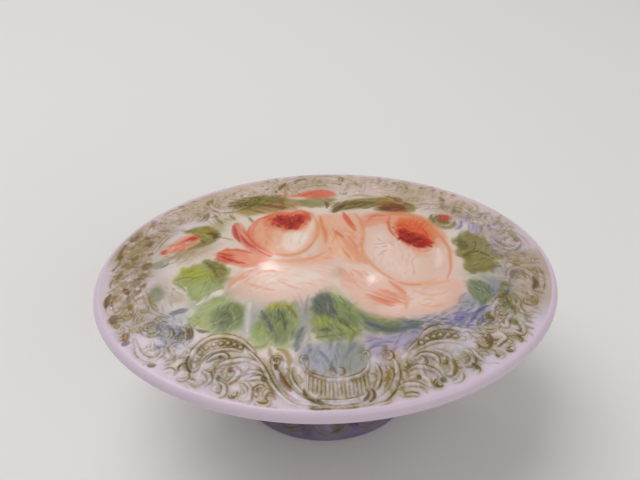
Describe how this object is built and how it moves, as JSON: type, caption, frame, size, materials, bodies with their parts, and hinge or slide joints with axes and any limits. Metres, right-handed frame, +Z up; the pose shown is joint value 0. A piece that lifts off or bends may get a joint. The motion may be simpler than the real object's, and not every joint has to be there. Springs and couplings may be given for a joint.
{
  "type": "pill box",
  "caption": "Oval footed trinket box with a shallow domed lid that overhangs the bowl and lifts straight off.",
  "frame": {"origin": "centre of the foot, on the surface that the box stands on", "axes": "+X along the length of the oval, +Y towards the back, +Z up through the lid"},
  "size_m": [0.08, 0.064, 0.034],
  "materials": {
    "lid_glaze": "glossy glaze over painted flowers and a moulded scroll border",
    "bowl_glaze": "glossy glaze over a blue-grey painted ground"
  },
  "bodies": {
    "bowl": {"bowl": "bowl_glaze"},
    "lid": {"lid": "lid_glaze"}
  },
  "joints": [
    {"name": "lid_lift", "type": "slide", "parent": "bowl", "child": "lid", "axis": [0, 0, 1], "range_m": [0, 0.045]}
  ]
}
